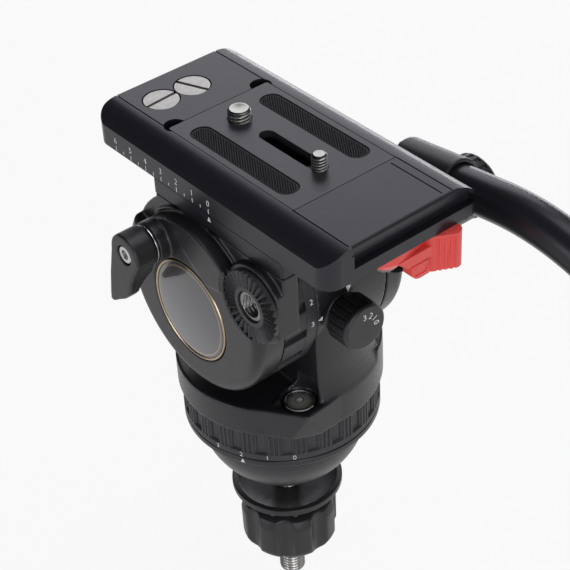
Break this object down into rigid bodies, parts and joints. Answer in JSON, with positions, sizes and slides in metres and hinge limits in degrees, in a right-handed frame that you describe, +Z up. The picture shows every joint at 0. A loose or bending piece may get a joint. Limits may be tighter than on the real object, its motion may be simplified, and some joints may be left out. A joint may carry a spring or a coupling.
{
  "type": "fluid video head",
  "caption": "Fluid pan and tilt head for a video camera, with a half-ball bowl mount, drag dials, a sliding quick-release platform and a bent pan bar with a grip.",
  "frame": {"origin": "on the pan axis, in the plane of the underside of the base flange, which is the plane of the rim of the bowl the head sits in", "axes": "+Z up along the pan axis; +Y the way the lens points, along the platform's length; +X the operator's right, along the tilt axis, the side the pan bar is on"},
  "size_m": [0.1402, 0.4399, 0.2483],
  "materials": {
    "cast_black": "satin black, finely textured paint on a casting",
    "anodised": "satin black anodised",
    "moulded_black": "fine moulded texture",
    "dial_grey": "dark grey, ribbed, with pale printed numbers",
    "red_plastic": "light red, softly glossy",
    "pad_rubber": "black, with a fine diagonal knurl",
    "grip_foam": "soft closed-cell foam sleeve",
    "bright_steel": "bright turned",
    "dark_steel": "ground, oiled",
    "spring_steel": "blued spring strip",
    "bronze": "lapped bronze",
    "gold_rim": "polished rim",
    "badge_grey": "domed, glossy grey, bare",
    "level_glass": "clear, slightly green"
  },
  "bodies": {
    "bowl_mount": {"half_ball": "cast_black", "pan_base": "cast_black", "pan_spindle": "dark_steel", "tie_down_stud": "bright_steel", "pan_brake_disc": "bronze", "pan_bearing": "bright_steel"},
    "tie_dish": {"tie_down_dish": "cast_black"},
    "tie_knob": {"tie_down_knob": "moulded_black"},
    "pan_dial": {"pan_drag_dial": "dial_grey"},
    "pan": {"pan_housing": "cast_black", "pan_fluid_disc": "dark_steel", "level_cup": "bright_steel", "level_glass": "level_glass", "left_tilt_bearing": "bright_steel", "counterbalance_spring": "spring_steel", "fluid_stator": "bronze", "chamber_cover": "cast_black", "right_tilt_bearing": "bright_steel"},
    "pan_lock": {"pan_lock_lever": "moulded_black", "pan_lock_screw": "bright_steel"},
    "tilt_dial": {"tilt_drag_dial": "dial_grey"},
    "balance": {"balance_knob": "moulded_black", "balance_shaft": "bright_steel"},
    "tilt": {"left_cheek": "cast_black", "right_cheek": "cast_black", "top_block": "anodised", "tilt_axle": "bright_steel", "fluid_rotor": "dark_steel", "badge_plate": "badge_grey", "badge_rim": "gold_rim", "left_rosette": "cast_black", "right_rosette": "cast_black", "left_thread_insert": "bright_steel", "right_thread_insert": "bright_steel", "tilt_lock_washer": "bright_steel", "left_cheek_screw": "dark_steel", "right_cheek_screw": "dark_steel"},
    "tilt_lock": {"tilt_lock_lever": "moulded_black", "tilt_lock_screw": "bright_steel"},
    "slide_lock": {"slide_lock_lever": "moulded_black"},
    "platform": {"sliding_platform": "anodised", "spare_quarter_screw": "bright_steel", "spare_three_eighths_screw": "bright_steel", "release_pivot": "bright_steel"},
    "jaw": {"plate_clamp_jaw": "bright_steel"},
    "release": {"release_lever": "red_plastic", "catch_pin": "bright_steel"},
    "catch": {"release_catch": "red_plastic"},
    "plate": {"camera_plate": "anodised", "left_plate_pad": "pad_rubber", "right_plate_pad": "pad_rubber"},
    "guide": {"screw_guide": "dark_steel"},
    "quarter_screw": {"quarter_inch_screw": "bright_steel"},
    "three_eighths": {"three_eighths_screw": "bright_steel"},
    "handle": {"handle_clamp": "moulded_black", "pan_bar": "anodised", "handle_grip": "grip_foam", "handle_end_cap": "moulded_black"},
    "handle_clamping": {"handle_knob": "moulded_black", "handle_bolt": "dark_steel"}
  },
  "joints": [
    {"name": "pan", "type": "hinge", "parent": "bowl_mount", "child": "pan", "pos_m": [0, 0, 0.0265], "axis": [0, 0, 1], "continuous": true},
    {"name": "pan_drag", "type": "hinge", "parent": "bowl_mount", "child": "pan_dial", "pos_m": [0, 0, 0.0115], "axis": [0, 0, 1], "range_deg": [-30, 15]},
    {"name": "pan_lock", "type": "hinge", "parent": "pan", "child": "pan_lock", "pos_m": [0.0533, 0.014, 0.0266], "axis": [1, 0, 0], "range_deg": [0, 60]},
    {"name": "tilt", "type": "hinge", "parent": "pan", "child": "tilt", "pos_m": [0, 0, 0.08], "axis": [1, 0, 0], "range_deg": [-80, 45]},
    {"name": "tilt_drag", "type": "hinge", "parent": "pan", "child": "tilt_dial", "pos_m": [-0.021, 0, 0.08], "axis": [1, 0, 0], "range_deg": [0, 45]},
    {"name": "balance", "type": "hinge", "parent": "pan", "child": "balance", "pos_m": [0, -0.0504, 0.0745], "axis": [0, -1, 0], "range_deg": [0, 90]},
    {"name": "tilt_lock", "type": "hinge", "parent": "tilt", "child": "tilt_lock", "pos_m": [-0.0545, 0.018, 0.1002], "axis": [1, 0, 0], "range_deg": [-30, 60]},
    {"name": "platform_slide", "type": "slide", "parent": "tilt", "child": "platform", "axis": [0, -1, 0], "range_m": [0, 0.06]},
    {"name": "slide_lock", "type": "hinge", "parent": "tilt", "child": "slide_lock", "pos_m": [0.0395, -0.045, 0.11915], "axis": [-1, 0, 0], "range_deg": [0, 35]},
    {"name": "release", "type": "hinge", "parent": "platform", "child": "release", "pos_m": [-0.0005, -0.068, 0.1186], "axis": [0, 0, -1], "range_deg": [0, 42]},
    {"name": "jaw_slide", "type": "slide", "parent": "platform", "child": "jaw", "axis": [1, 0, 0], "range_m": [0, 0.0016]},
    {"name": "catch_slide", "type": "slide", "parent": "release", "child": "catch", "axis": [-1, 0, 0], "range_m": [0, 0.003]},
    {"name": "plate_lift", "type": "slide", "parent": "platform", "child": "plate", "axis": [0, 0, 1], "range_m": [0, 0.03]},
    {"name": "guide_slide", "type": "slide", "parent": "plate", "child": "guide", "axis": [0, 1, 0], "range_m": [0, 0.0305]},
    {"name": "quarter_turn", "type": "hinge", "parent": "guide", "child": "quarter_screw", "pos_m": [0, -0.0318, 0.134], "axis": [0, 0, 1], "continuous": true},
    {"name": "three_eighths_turn", "type": "hinge", "parent": "plate", "child": "three_eighths", "pos_m": [0, 0.0163, 0.134], "axis": [0, 0, 1], "continuous": true},
    {"name": "handle_angle", "type": "hinge", "parent": "tilt", "child": "handle", "pos_m": [0.045, -0.0388, 0.0983], "axis": [1, 0, 0], "range_deg": [-60, 45]},
    {"name": "handle_clamp_turn", "type": "hinge", "parent": "handle", "child": "handle_clamping", "pos_m": [0.072, -0.0388, 0.0983], "axis": [1, 0, 0], "continuous": true},
    {"name": "tie_slide", "type": "slide", "parent": "bowl_mount", "child": "tie_dish", "axis": [0, 0, 1], "range_m": [0, 0.007]},
    {"name": "tie_turn", "type": "hinge", "parent": "tie_dish", "child": "tie_knob", "pos_m": [0, 0, -0.068], "axis": [0, 0, 1], "range_deg": [0, 1440]}
  ],
  "couplings": [
    {"joint": "release", "follows": "jaw_slide", "rad_per_m": 436.33},
    {"joint": "tie_turn", "follows": "tie_slide", "rad_per_m": 3590.4}
  ]
}
